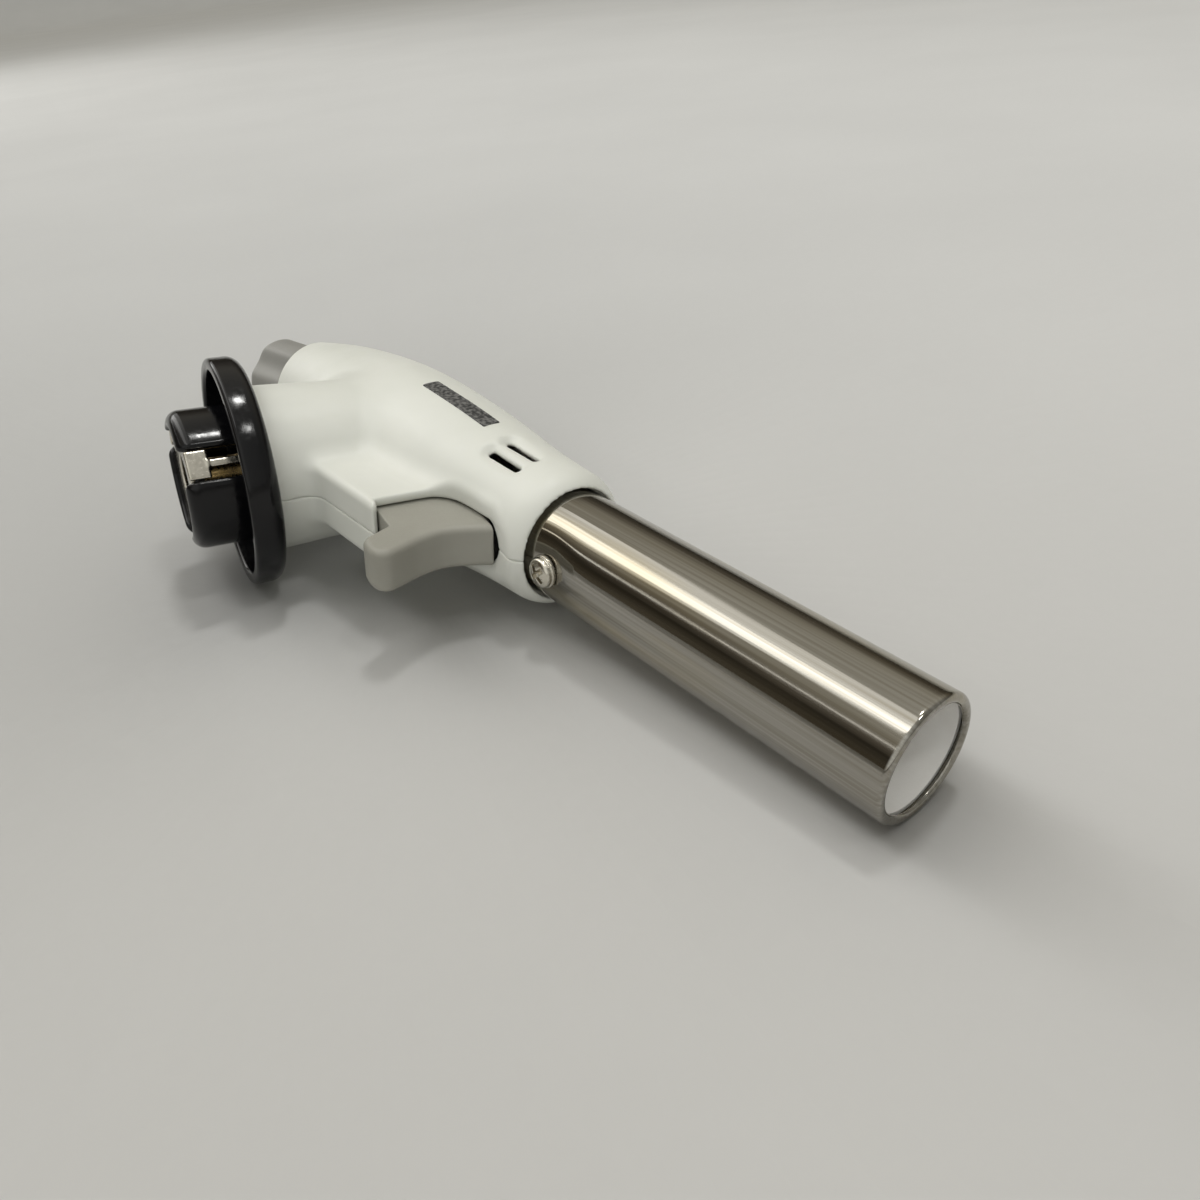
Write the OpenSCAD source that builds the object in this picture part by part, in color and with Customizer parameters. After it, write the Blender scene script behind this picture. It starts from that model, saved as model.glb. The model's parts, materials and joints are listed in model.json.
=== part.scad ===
// Hand-held butane torch head that locks onto a gas cartridge.
//
// Frame: the origin is the centre of the base flange's open face. +X runs along the cartridge axis
// into the body, -Y is the trigger side that the burner points to, and the two housing halves meet
// on the plane Z = 0. The burner lies on a tilted axis, the nozzle axis, and "station" means a
// distance along it from where it crosses the cartridge axis. The valve stem and the knob share a
// second axis, the stem axis, and "depth" means a distance into the body along it from the rear rim.

/* [Base] */
// Outer diameter of the flange that covers the cartridge collar
flange_d = 48.2; // [46:0.2:50]
// Thickness of the flange
flange_t = 6.5; // [6:0.1:7]
// Width of the flange's rim
rim_w = 2.5; // [2:0.1:3]
// Diameter of the bayonet connector
connector_d = 29; // [28:0.1:29.2]
// How far the connector stands out of the flange
connector_h = 9.9; // [9:0.1:10.4]

/* [Body] */
// Diameter of the neck behind the flange
neck_d = 35.4; // [35:0.1:36]
// Distance from the flange's open face to the nozzle axis
axis_x = 40.6; // [40:0.1:41]
// Tilt of the nozzle axis from square
nozzle_tilt = 12; // [11:0.5:13]
// Tilt of the stem axis from square
stem_tilt = 25; // [24:0.5:26]
// Thickness of the housing wall
wall = 1.8; // [1.5:0.1:2]
// Width of the trigger guard
guard_w = 13.4; // [13:0.1:14]

/* [Burner] */
// Outer diameter of the burner tube
tube_d = 22; // [21.8:0.1:22.2]
// Thickness of the tube's sheet metal
tube_wall = 0.6; // [0.5:0.05:0.7]
// Station of the tube's open end
mouth = 138.6; // [130:0.2:145]
// Inner diameter of the ceramic liner
liner_d = 18.8; // [18.4:0.1:19]

/* [Trigger] */
// Width of the trigger
trigger_w = 8.8; // [8.6:0.1:9.1]
// How far the trigger travels
trigger_travel = 5; // [4:0.1:5.2]

/* [Knob] */
// Diameter of the knob over its lobes
knob_d = 20; // [19:0.1:20.8]
// Number of lobes
knob_lobes = 4; // [3:1:8]
// How far the knob stands out of the housing
knob_h = 15.4; // [15:0.1:17]

/* [Hidden] */

$fn = 96;
eps = 0.01;           // overlap that keeps cuts clean
far = 100;            // longer than anything that is cut
fit = 0.05;           // radial clearance of a running fit

flange_r = flange_d / 2;
connector_r = connector_d / 2;
neck_r = neck_d / 2;
neck_taper = 1.7;     // how much smaller the neck's radius is where it meets the nozzle axis
tube_r = tube_d / 2;
tube_in = tube_r - tube_wall;
liner_r = liner_d / 2;

// Base and connector, along X
web_t = 1.9;                            // wall at the bottom of the flange's cup
cup_floor = flange_t - web_t;
spigot_r = neck_r - wall - fit;         // ring that the neck clamps
spigot_end = 12;
ridge_x = [9.5, 11];                    // ridge on the spigot, in the neck's groove
ridge_h = 0.7;
connector_floor = [2.4, cup_floor];
claw_t = 3;
claw_gap = 6.4;                         // width of each gap between the claws
claw_edge = 2.8;                        // radius of the claws' front edge
claw_turns = [-5, 115, 235];
lug_plate = [-8.5, -7.7];
nipple_r = 4;
nipple_x = [-5, 8];
inlet_r = 2.1;                          // radius of the inlet that takes the cartridge's valve tip
inlet_end = 0.8;
filter_r = 1.8;
filter_x = [1, 3];
gas_r = 1.2;                            // bore of the gas passages
base_screw_r = 8.6;                     // radius of the circle of connector screws
valve_plate_x = [flange_t, 10.5];

// Barrel of the housing: [radius, station], from its rear rim to the front
barrel_line = [[11.2, -50], [15.95, -27], [18.15, -3], [17.05, 22], [14.7, 43], [13.95, 54.3]];
barrel_nose = 6.5;                      // radius of the rounded front edge
rim_s = -46;                            // where the stem axis crosses the nozzle axis
rim_bore = 10.8;
tube_seat = [52.4, 57.8];               // stretch of the housing that grips the tube
tube_gap = 0.45;                        // dark gap round the tube at the housing's edge

// Trigger guard and trigger, in the plane of X and Y
guard_top = [13.6, -13.5];
guard_tip = [19.7, -38.8];
trigger_x = [20.9, 38.9];               // the opening that the trigger slides in
roof_y = -36.9;
cavity_w = trigger_w + 0.5;
finger_wall = 1.6;

// Valve: depths along the stem axis, then stations along the nozzle axis
stem_r = 2;
stem_span = [-10.5, 37];
seat_depth = 40;
stem_boss = [13, 42];                   // part of the casting round the stem
stem_boss_r = 5.8;
gland_depths = [8, 13, 17];             // the nut's outer end, its shoulder and its inner end
oring_depth = 18.6;
knob_screw_seat = -11.5;
valve_s = [-18, 8];
valve_r = 6;
arm_r = 5.4;
arm_end = 46;
jet_s = [36, 41];
mixer_s = [33, 70];
mixer_r = 6;
air_hole_s = 45;
mount_s = [52.6, 66];
head_s = [70, 74];
liner_s = [76, mouth - 0.9];
tube_start = 53;
screw_s = 64;
electrode_h = 8;                        // height of the electrode above the nozzle axis
electrode_s = [50.6, 76];

// Housing screws: [station, distance from the nozzle axis towards the trigger]
barrel_screws = [[8, -11.5], [30, -10.5], [-33, 9.3]];
neck_screw = [17, 11];
screw_boss_r = [2.7, 4.2];              // bosses that take the thread, and round the heads
screw_head_z = [-9, -7];
screw_tip_z = 8;

// Piezo igniter, along Y
piezo_x = 29.5;
piezo_case_y = [-41, -14.6];
piezo_bore_r = 1.85;
spring_room_r = 2.6;
spring_seat = -36;                      // bottom of the counterbore that takes the spring
plunger_y = [-48.8, -33.2];
plunger_head_t = 2.4;
hammer_y = [-27.6, -23.4];
crystal_y = [-22.4, piezo_case_y[1] - 1.2];
coil_r = 2.2;
spring_wire = 0.28;                     // half of the wire's thickness
spring_turns = 6;

// Route of the ignition lead, from the igniter to the electrode
lead_r = 0.9;
lead_route = [
    [29.5, -12.1, 0], [29.5, -11.4, 0], [29.9, -10.6, 1.2], [31.1, -10.6, 3.6], [33, -12.2, 6.1],
    [35.4, -15.4, 7.7], [37.4, -19.2, 8.3], [39.4, -23.4, 8.5], [41.4, -27.6, 8.4], [43.4, -31.8, 8.3],
    [45.4, -36, 8.2], [47.4, -40, 8.1], [49.2, -43.6, 8], [50.3, -46.6, 8], [51.1, -49.4, 8]
];

// ---------------------------------------------------------------- helpers

// Point p of a smooth curve through four points, a share t of the way from p1 to p2
function curve_point(p0, p1, p2, p3, t) =
    0.5 * (2 * p1 + (p2 - p0) * t + (2 * p0 - 5 * p1 + 4 * p2 - p3) * t * t
        + (3 * p1 - p0 - 3 * p2 + p3) * t * t * t);

// Smooth curve through points, with n steps between each pair
function smooth_line(points, n) = concat(
    [for (i = [0 : len(points) - 2], k = [0 : n - 1])
        curve_point(points[max(i - 1, 0)], points[i], points[i + 1],
            points[min(i + 2, len(points) - 1)], k / n)],
    [points[len(points) - 1]]);

// Points of an arc about a centre, between two angles
function arc(centre, r, a0, a1, n) =
    [for (i = [0 : n]) centre + r * [cos(a0 + (a1 - a0) * i / n), sin(a0 + (a1 - a0) * i / n)]];

// Point on the nozzle axis at a station
function on_nozzle(station) = [axis_x + station * sin(nozzle_tilt), -station * cos(nozzle_tilt), 0];

// Point on the stem axis at a depth
function on_stem(depth) = on_nozzle(rim_s) + depth * [sin(stem_tilt), -cos(stem_tilt), 0];

// Children whose Z axis lies in the parting plane, tilted from -Y; the upper side is their -X
module tilted_frame(origin, tilt) {
    translate(origin) rotate([0, 0, tilt - 90]) rotate([0, 90, 0]) children();
}

// Children whose Z axis is the nozzle axis; the trigger side is -Y
module nozzle_frame() {
    tilted_frame(on_nozzle(0), nozzle_tilt) children();
}

// Children whose Z axis is the stem axis
module stem_frame() {
    tilted_frame(on_nozzle(rim_s), stem_tilt) children();
}

// Straight hole in the parting plane between two points
module drilling(a, b, r) {
    translate(a) rotate([0, 0, atan2(b.y - a.y, b.x - a.x)]) rotate([0, 90, 0])
        cylinder(r = r, h = norm(b - a));
}

// Children whose Z axis points away from the nozzle axis at a station; turn 0 is the trigger side
module outward(station, turn) {
    nozzle_frame() translate([0, 0, station]) rotate([0, 0, -turn]) rotate([90, 0, 0]) children();
}

// Ring about the Z axis between two heights
module ring(outer, inner, span) {
    rotate_extrude() translate([inner, span[0]]) square([outer - inner, span[1] - span[0]]);
}

// Rod about the Z axis between two heights
module rod(r, span) {
    translate([0, 0, span[0]]) cylinder(r = r, h = span[1] - span[0]);
}

// Children whose Z axis is the cartridge axis
module cartridge_frame() {
    rotate([0, 90, 0]) children();
}

// Children whose Z axis is the igniter's, with Y of the part along it
module igniter_frame() {
    translate([piezo_x, 0, 0]) rotate([-90, 0, 0]) children();
}

// Slot with round ends that runs along Y, centred on the Z axis
module slot(length, width, depth) {
    reach = (length - width) / 2;
    for (side = [-1, 1]) translate([0, side * reach, 0]) cylinder(d = width, h = depth);
    translate([-width / 2, -reach, 0]) cube([width, 2 * reach, depth]);
}

// Crossed driver recess cut down from the height h
module cross_recess(size, depth, h) {
    for (turn = [45, 135]) rotate([0, 0, turn])
        translate([-size / 2, -size / 6, h - depth]) cube([size, size / 3, depth + 1]);
}

// Screw along Z with its head's seat at 0 and its shank below
module pan_screw(head_d, head_h, shank_r, shank_l) {
    difference() {
        union() {
            rotate_extrude() polygon(concat([[0, 0], [head_d / 2, 0]],
                arc([head_d / 2 - head_h * 0.7, head_h * 0.3], head_h * 0.7, 0, 90, 8), [[0, head_h]]));
            rod(shank_r, [-shank_l, eps]);
        }
        cross_recess(head_d * 0.62, head_h * 0.6, head_h);
    }
}

// ---------------------------------------------------------------- housing

// Solid of the barrel, grown by an amount
module barrel_solid(grow = 0) {
    line = [for (p = smooth_line(barrel_line, 4)) p + [grow, 0]];
    end = line[len(line) - 1];
    nose = arc(end - [barrel_nose, 0], barrel_nose, 10, 90, 6);
    nozzle_frame() rotate_extrude() polygon(concat([[0, line[0].y]], line, nose, [[0, end.y + barrel_nose]]));
}

// Hollow of the barrel, with the tube's seat and the gap round the tube
module barrel_hollow() {
    line = [for (p = smooth_line(barrel_line, 4)) if (p.y < tube_seat[0] - 2) p - [wall, 0]];
    nozzle_frame() {
        rotate_extrude() polygon(concat([[0, line[0].y]], line,
            [[line[len(line) - 1].x, tube_seat[0]], [0, tube_seat[0]]]));
        rod(tube_r + fit, [tube_seat[0] - eps, far]);
        rod(tube_r + tube_gap, [tube_seat[1], far]);
    }
    stem_frame() {
        rod(rim_bore, [-far, 5]);
        rod(far / 2, [-far, 0]);
    }
}

// Outline of the trigger guard, from the neck to the barrel
module guard_outline() {
    polygon([guard_top, guard_tip, [trigger_x[0], guard_tip.y], [trigger_x[1] + 1, -52], [48, -48],
        [axis_x + 4, -6], [guard_top.x, -6]]);
}

// Opening that the trigger fills: flat roof, then a curve down to the barrel's front
module trigger_opening() {
    polygon(concat([[trigger_x[0], -far], [trigger_x[0], roof_y]],
        smooth_line([[29, roof_y], [32.6, -37.3], [35.2, -39.4], [36.8, -43.2], [38.2, -48.6],
            [trigger_x[1], -51.6]], 4),
        [[trigger_x[1], -far]]));
}

module slab(thickness) {
    translate([0, 0, -thickness / 2]) linear_extrude(thickness) children();
}

// Tapered plug about the cartridge axis, a wall's thickness inside the neck
module neck_plug(inset) {
    cartridge_frame() translate([0, 0, flange_t])
        cylinder(r1 = neck_r - inset, r2 = neck_r - neck_taper - inset, h = axis_x - flange_t);
}

module housing_solid() {
    neck_plug(0);
    barrel_solid();
    slab(guard_w) guard_outline();
}

module neck_hollow() {
    neck_plug(wall);
    cartridge_frame() {
        rod(neck_r - wall, [flange_t - eps, spigot_end + 0.5]);
        rod(neck_r - wall + ridge_h + fit, [ridge_x[0] - 0.1, ridge_x[1] + 0.1]);
    }
}

// Room for the trigger and the igniter inside the guard
module guard_hollow() {
    slab(cavity_w) polygon([[17.6, -12], [trigger_x[0], -27], [trigger_x[0], -far], [trigger_x[1], -far],
        [trigger_x[1], -50.5], [41, -50.5], [44, -8]]);
}

// Slots that let air in to the mixing tube, on both sides
module air_slots() {
    for (side = [-1, 1], turn = [69.5, 88])
        outward(43.8, side * turn) translate([0, 0, 9]) slot(9.4, 1.4, 8);
}

// Ribs across the barrel that hold the valve body and the mixing tube
module ribs() {
    intersection() {
        barrel_solid(-wall / 2);
        union() {
            stem_frame() ring(far, stem_boss_r + fit, [24, 25.6]);
            nozzle_frame() {
                difference() {
                    ring(far, valve_r + fit, [5, 6.6]);
                    translate([-far, -far - 7.4, 0]) cube([2 * far, far, 10]);
                }
                difference() {
                    ring(far, mixer_r + fit, [35.2, 36.8]);
                    translate([-far, -far - 0.6, 30]) cube([2 * far, far, 10]);
                }
            }
        }
    }
}

// Rails beside the igniter and the wall behind it
module igniter_seat() {
    for (side = [-1, 1]) igniter_frame() translate([-3.5, side * 4.1 - 0.85, -26]) cube([7, 1.7, 9]);
    translate([25.5, -14.5, -far / 2]) cube([6.7, 1.6, far]);
}

// Places of the housing screws
module at_screws() {
    for (p = barrel_screws) nozzle_frame() translate([0, -p[1], p[0]]) rotate([0, -90, 0]) children();
    translate([neck_screw.x, neck_screw.y, 0]) children();
}

// Both halves in one, before they are parted
module housing() {
    difference() {
        union() {
            difference() {
                housing_solid();
                barrel_hollow();
                neck_hollow();
                guard_hollow();
            }
            ribs();
            intersection() {
                housing_solid();
                union() {
                    at_screws() rod(screw_boss_r[0], [0, far]);
                    at_screws() rod(screw_boss_r[1], [-far, 0]);
                    igniter_seat();
                }
            }
        }
        slab(far) trigger_opening();
        air_slots();
        igniter_frame() rod(1.4, [-16, -10]);
        at_screws() rod(1.3, [screw_head_z[1] - eps, screw_tip_z + 0.5]);
        at_screws() rod(1.5, [screw_head_z[1] - eps, 0]);
        at_screws() rod(3, [-far, screw_head_z[1]]);
        outward(screw_s, 0) rod(3.3, [tube_r, far]);
    }
}

module right_housing() {
    color("gainsboro") intersection() {
        housing();
        translate([-far, -far, 0]) cube([2 * far, 2 * far, far]);
    }
}

module left_housing() {
    color("gainsboro") intersection() {
        housing();
        translate([-far, -far, -far]) cube([2 * far, 2 * far, far]);
    }
}

module housing_screws() {
    color("silver") at_screws() translate([0, 0, screw_head_z[1]]) mirror([0, 0, 1])
        pan_screw(5.4, 2, 1.25, screw_tip_z - screw_head_z[1]);
}

// Plate bent over the top of the barrel
module rating_label() {
    color("dimgray") intersection() {
        difference() {
            barrel_solid(0.25);
            barrel_solid(0);
        }
        nozzle_frame() translate([-far, -2, 10]) cube([far, 4, 22.7]);
    }
}

// ---------------------------------------------------------------- base

module base_flange() {
    edge = 0.8;
    back_edge = 2.6;
    color("black") cartridge_frame() difference() {
        union() {
            rotate_extrude() polygon(concat([[0, 0]],
                arc([flange_r - edge, edge], edge, -90, 0, 6),
                arc([flange_r - back_edge, flange_t - back_edge], back_edge, 0, 90, 8), [[0, flange_t]]));
            rod(spigot_r, [flange_t, spigot_end]);
            rod(spigot_r + ridge_h, ridge_x);
        }
        rod(flange_r - rim_w, [-1, cup_floor]);
        rod(nipple_r + 0.1, [-1, far]);
        rod(13.4, [flange_t, far]);
        for (turn = claw_turns) rotate([0, 0, turn + 60]) translate([base_screw_r, 0, 0]) rod(1.6, [-1, far]);
    }
}

// Three claws on a floor, with a gap between each pair
module connector_body() {
    claw_in = connector_r - claw_t;
    claw_root = connector_floor[0] - 0.3;
    color("black") cartridge_frame() difference() {
        rotate_extrude() polygon(concat(
            [[nipple_r + 0.1, connector_floor[0]], [claw_in, connector_floor[0]], [claw_in, -connector_h]],
            arc([connector_r - claw_edge, -connector_h + claw_edge], claw_edge, -90, 0, 8),
            [[connector_r, claw_root], [connector_r - 0.2, claw_root],
                [connector_r - 0.2, connector_floor[1]], [nipple_r + 0.1, connector_floor[1]]]));
        for (turn = claw_turns) {
            rotate([0, 0, turn]) translate([claw_in - 2, -claw_gap / 2, -far + connector_floor[0]])
                cube([far, claw_gap, far]);
            rotate([0, 0, turn + 60]) translate([base_screw_r, 0, 0]) rod(1.6, [-1, far]);
        }
    }
}

// Spring steel plate with a T-shaped lug in each gap of the connector
module bayonet_plate() {
    lug_r = connector_r - 0.4;
    color("silver") cartridge_frame() difference() {
        union() {
            rod(connector_r - claw_t - 0.1, lug_plate);
            for (turn = claw_turns) rotate([0, 0, turn]) {
                translate([connector_r - claw_t - 1.4, -1.6, lug_plate[0]]) cube([claw_t, 3.2, 0.8]);
                translate([lug_r - 1.1, -2.9, lug_plate[0] - 0.4]) cube([1, 5.8, 4.4]);
                translate([lug_r - 1.1, -0.75, lug_plate[0]])
                    cube([1, 1.5, connector_floor[0] - lug_plate[0]]);
            }
        }
        rod(5.4, [-far, far]);
    }
}

module inlet_nipple() {
    color("goldenrod") cartridge_frame() difference() {
        rod(nipple_r, nipple_x);
        rod(inlet_r, [nipple_x[0] - 1, inlet_end]);
        rod(filter_r + fit, [0, far]);
    }
}

module inlet_seal() {
    color("darkslategray") cartridge_frame() ring(3.4, inlet_r + 0.5, [nipple_x[0] - 1.4, nipple_x[0]]);
}

module inlet_filter() {
    color("tan") cartridge_frame() rod(filter_r, filter_x);
}

module connector_screws() {
    color("silver") cartridge_frame() for (turn = claw_turns) rotate([0, 0, turn + 60])
        translate([base_screw_r, 0, connector_floor[0]]) mirror([0, 0, 1])
            pan_screw(4.4, 1.6, 1.25, valve_plate_x[1] - connector_floor[0] - 0.5);
}

// ---------------------------------------------------------------- valve

// Cast body: a plate behind the flange, an arm, and the valve across its end
module valve_body() {
    color("darkkhaki") difference() {
        union() {
            cartridge_frame() {
                rod(12.6, valve_plate_x);
                rod(arm_r, [valve_plate_x[0], arm_end]);
            }
            nozzle_frame() rod(valve_r, valve_s);
            stem_frame() rod(stem_boss_r, stem_boss);
        }
        cartridge_frame() {
            rod(nipple_r + fit, [-1, nipple_x[1]]);
            rod(gas_r, [0, arm_end - 13]);
            for (turn = claw_turns) rotate([0, 0, turn + 60]) translate([base_screw_r, 0, 0])
                rod(1.3, [-1, far / 5]);
        }
        stem_frame() {
            rod(stem_r + fit, [-far, seat_depth]);
            rod(0.8, [0, seat_depth + 1]);
            rod(4 + fit, [-far, gland_depths[2]]);
            rod(3.45, [-far, oring_depth + 1]);
        }
        nozzle_frame() {
            rod(gas_r, [-1, far]);
            rod(2.5 + fit, [valve_s[1] - 3, far]);
        }
        drilling([arm_end - 14, 0, 0], on_stem(30), 1);
        drilling(on_stem(seat_depth + 0.5), on_nozzle(1), 1);
    }
}

module gland_nut() {
    color("goldenrod") stem_frame() difference() {
        union() {
            translate([0, 0, gland_depths[0]])
                cylinder(r = 5.6, h = gland_depths[1] - gland_depths[0], $fn = 6);
            rod(4, [gland_depths[1] - eps, gland_depths[2]]);
        }
        rod(stem_r + fit, [-far, far]);
    }
}

module stem_oring() {
    color("black") stem_frame() translate([0, 0, oring_depth]) rotate_extrude()
        translate([stem_r + 0.72, 0]) circle(r = 0.67, $fn = 32);
}

// Stem with its needle point; the point closes the seat when the knob is shut
module valve_stem() {
    color("silver") stem_frame() difference() {
        rotate_extrude() polygon([[0, stem_span[0]], [stem_r, stem_span[0]], [stem_r, stem_span[1]],
            [0.5, seat_depth - 0.2], [0, seat_depth]]);
        translate([stem_r * 0.6, -far, stem_span[0] - 1]) cube([far, 2 * far, 9]);
        rod(1.05, [-far, stem_span[0] + 6]);
    }
}

// Lobed grip that turns inside the housing's rear rim
module control_knob() {
    grip_r = knob_d / 2;
    scallop_r = 5;
    edge = 2.6;
    skirt = 2.5;
    color("darkgray") stem_frame() difference() {
        rotate_extrude() polygon(concat([[0, -knob_h]],
            arc([grip_r - edge, -knob_h + edge], edge, -90, 0, 8), [[grip_r, skirt], [0, skirt]]));
        for (i = [0 : knob_lobes - 1]) rotate([0, 0, -10 + i * 360 / knob_lobes])
            translate([grip_r + scallop_r - 1.3, 0, 0]) rod(scallop_r, [-far, -0.6]);
        difference() {
            rod(stem_r + 0.02, [stem_span[0], far]);
            translate([stem_r * 0.6 + 0.02, -far, stem_span[0] - 1]) cube([far, 2 * far, 9]);
        }
        ring(grip_r - 2.2, 4.2, [-9, far]);
        rod(1.3, [-far, 0]);
        rod(2.6, [-far, knob_screw_seat]);
    }
}

module knob_screw() {
    color("silver") stem_frame() translate([0, 0, knob_screw_seat]) mirror([0, 0, 1])
        pan_screw(4.6, 1.7, 1, 6.5);
}

// ---------------------------------------------------------------- burner

module gas_pipe() {
    color("peru") nozzle_frame() ring(2.5, gas_r, [valve_s[1] - 3, jet_s[0]]);
}

module jet_holder() {
    color("goldenrod") nozzle_frame() ring(mixer_r - 0.7, 2.5 + fit, [mixer_s[0], mixer_s[0] + 4.5]);
}

// Jet with the fine hole that the gas leaves through
module gas_jet() {
    color("gold") nozzle_frame() difference() {
        rotate_extrude() polygon([[0, jet_s[0]], [2.5, jet_s[0]], [2.5, jet_s[1] - 1.5],
            [1.2, jet_s[1]], [0, jet_s[1]]]);
        rod(gas_r, [0, jet_s[1] - 1.2]);
        rod(0.2, [0, far]);
    }
}

// Tube that mixes gas and air, with four air holes beside the housing's slots
module mixing_tube() {
    color("silver") difference() {
        nozzle_frame() ring(mixer_r, mixer_r - 0.7, mixer_s);
        for (turn = [45 : 90 : 315]) outward(air_hole_s, turn) rod(2, [2, far]);
    }
}

// Plug in the root of the tube; it carries the mixing tube and the electrode
module burner_mount() {
    color("darkkhaki") difference() {
        nozzle_frame() difference() {
            rod(tube_in - fit, mount_s);
            rod(mixer_r + fit, [-far, far]);
            translate([-electrode_h, 0, 0]) rod(1.65, [-far, far]);
        }
        outward(screw_s, 0) rod(1.3, [6.5, far]);
    }
}

// Plate at the end of the mixing tube, with a ring of small flame holes
module burner_head() {
    color("goldenrod") nozzle_frame() difference() {
        union() {
            rod(9, head_s);
            ring(mixer_r + 0.8, mixer_r + fit, [head_s[0] - 4, head_s[0] + eps]);
        }
        rod(3.2, [-far, far]);
        for (i = [0 : 11]) rotate([0, 0, 15 + i * 30]) translate([5.2, 0, 0]) rod(0.7, [-far, far]);
        translate([-electrode_h, 0, 0]) rod(1.5, [-far, far]);
    }
}

// Plated tube with its lip rolled in over the liner
module burner_tube() {
    lip = 1.25;
    color("silver") difference() {
        nozzle_frame() rotate_extrude() polygon(concat(
            [[tube_in, tube_start], [tube_r, tube_start]],
            arc([tube_r - lip, mouth - lip], lip, 0, 90, 8),
            arc([tube_r - lip, mouth - lip], lip - tube_wall, 90, 0, 8)));
        outward(screw_s, 0) rod(1.6, [0, far]);
    }
}

module ceramic_liner() {
    color("whitesmoke") nozzle_frame() ring(tube_in - 0.15, liner_r, [liner_s[0], liner_s[1] - 0.5]);
}

module tube_screw() {
    color("silver") outward(screw_s, 0) translate([0, 0, tube_r + 0.05]) pan_screw(5.8, 2.3, 1.25, 4);
}

// ---------------------------------------------------------------- igniter

// Side view of the trigger: finger curve, lobe and the part inside the guard
module trigger_outline() {
    left = trigger_x[0] + 0.15;
    right = trigger_x[1] - 0.15;
    lobe = smooth_line([[15, -47.6], [14.9, -50.2], [15.6, -52.9], [17.7, -54.1], [20.4, -53.2],
        [24.6, -51.3], [29.2, -50.2], [33.6, -50.9], [right, -52.8]], 5);
    polygon(concat([[right, -38.4], [33.4, -34.2], [left, -34.2], [left, -44.4], [17.6, -46.4]], lobe));
}

module trigger() {
    color("gray") difference() {
        union() {
            slab(trigger_w) trigger_outline();
            slab(trigger_w)
                polygon([[trigger_x[1] - 1, -46.5], [40.4, -46.5], [40.4, -43], [trigger_x[1] - 1, -41]]);
        }
        slab(trigger_w - 2.2) polygon([[trigger_x[0] + 1.3, -far / 5], [trigger_x[0] + 1.3, -48],
            [24, -49.8 + finger_wall], [33.5, -49.8 + finger_wall], [trigger_x[1] - 1.3, -50.2],
            [trigger_x[1] - 1.3, -far / 5]]);
    }
}

module piezo_case() {
    color("dimgray") igniter_frame() difference() {
        translate([-3.4, -3.1, piezo_case_y[0]]) cube([6.8, 6.2, piezo_case_y[1] - piezo_case_y[0]]);
        rod(spring_room_r, [-far, spring_seat]);
        rod(piezo_bore_r, [-far, crystal_y[1]]);
        rod(1, [-far, 0]);
    }
}

module piezo_plunger() {
    color("white") igniter_frame() {
        rod(2.9, [plunger_y[0] + 0.6, plunger_y[0] + plunger_head_t]);
        rod(piezo_bore_r - fit, [plunger_y[0] + plunger_head_t - eps, plunger_y[1]]);
    }
}

// Coil round the plunger, from its head to the bottom of the case's counterbore
module piezo_spring() {
    start = plunger_y[0] + plunger_head_t + spring_wire;
    rise = spring_seat - spring_wire - start;
    rings = spring_turns * 16;
    sides = 6;
    points = [for (i = [0 : rings], k = [0 : sides - 1])
        let (a = 360 * spring_turns * i / rings, b = 360 * k / sides,
            r = coil_r + spring_wire * cos(b))
        [r * cos(a), r * sin(a), start + rise * i / rings + spring_wire * sin(b)]];
    skin = [for (i = [0 : rings - 1], k = [0 : sides - 1]) let (n = (k + 1) % sides)
        [i * sides + k, i * sides + n, (i + 1) * sides + n, (i + 1) * sides + k]];
    caps = [[for (k = [sides - 1 : -1 : 0]) k], [for (k = [0 : sides - 1]) rings * sides + k]];
    color("silver") igniter_frame() polyhedron(points, concat(skin, caps), convexity = 10);
}

module piezo_hammer() {
    color("silver") igniter_frame() rod(piezo_bore_r - fit, hammer_y);
}

module piezo_crystal() {
    color("whitesmoke") igniter_frame() rod(piezo_bore_r - fit, crystal_y);
}

module piezo_terminal() {
    color("gold") igniter_frame() {
        rod(0.95, [crystal_y[1], -12.4]);
        rod(1.25, [piezo_case_y[1], -12.4]);
    }
}

// Insulated wire, swept along its route
module ignition_lead() {
    sides = 8;
    path = smooth_line(lead_route, 2);
    last = len(path) - 1;
    along = [for (i = [0 : last]) let (d = path[min(i + 1, last)] - path[max(i - 1, 0)]) d / norm(d)];
    points = [for (i = [0 : last])
        let (side = cross(along[i], [1, 0, 0.2]), x = side / norm(side), y = cross(along[i], x))
        for (k = [0 : sides - 1]) path[i] + lead_r * (x * cos(360 * k / sides) + y * sin(360 * k / sides))];
    skin = [for (i = [0 : last - 1], k = [0 : sides - 1]) let (n = (k + 1) % sides)
        [i * sides + k, (i + 1) * sides + k, (i + 1) * sides + n, i * sides + n]];
    caps = [[for (k = [0 : sides - 1]) k], [for (k = [sides - 1 : -1 : 0]) last * sides + k]];
    color("firebrick") polyhedron(points, concat(skin, caps), convexity = 10);
}

module electrode_insulator() {
    color("whitesmoke") nozzle_frame() translate([-electrode_h, 0, 0])
        ring(1.6, 0.55, [electrode_s[0], mount_s[1]]);
}

module electrode() {
    color("silver") nozzle_frame() translate([-electrode_h, 0, 0]) {
        rod(0.5, electrode_s);
        translate([0, 0, electrode_s[1] - 0.5]) rotate([0, 90, 0]) rod(0.5, [0, 3.5]);
    }
}

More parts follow.
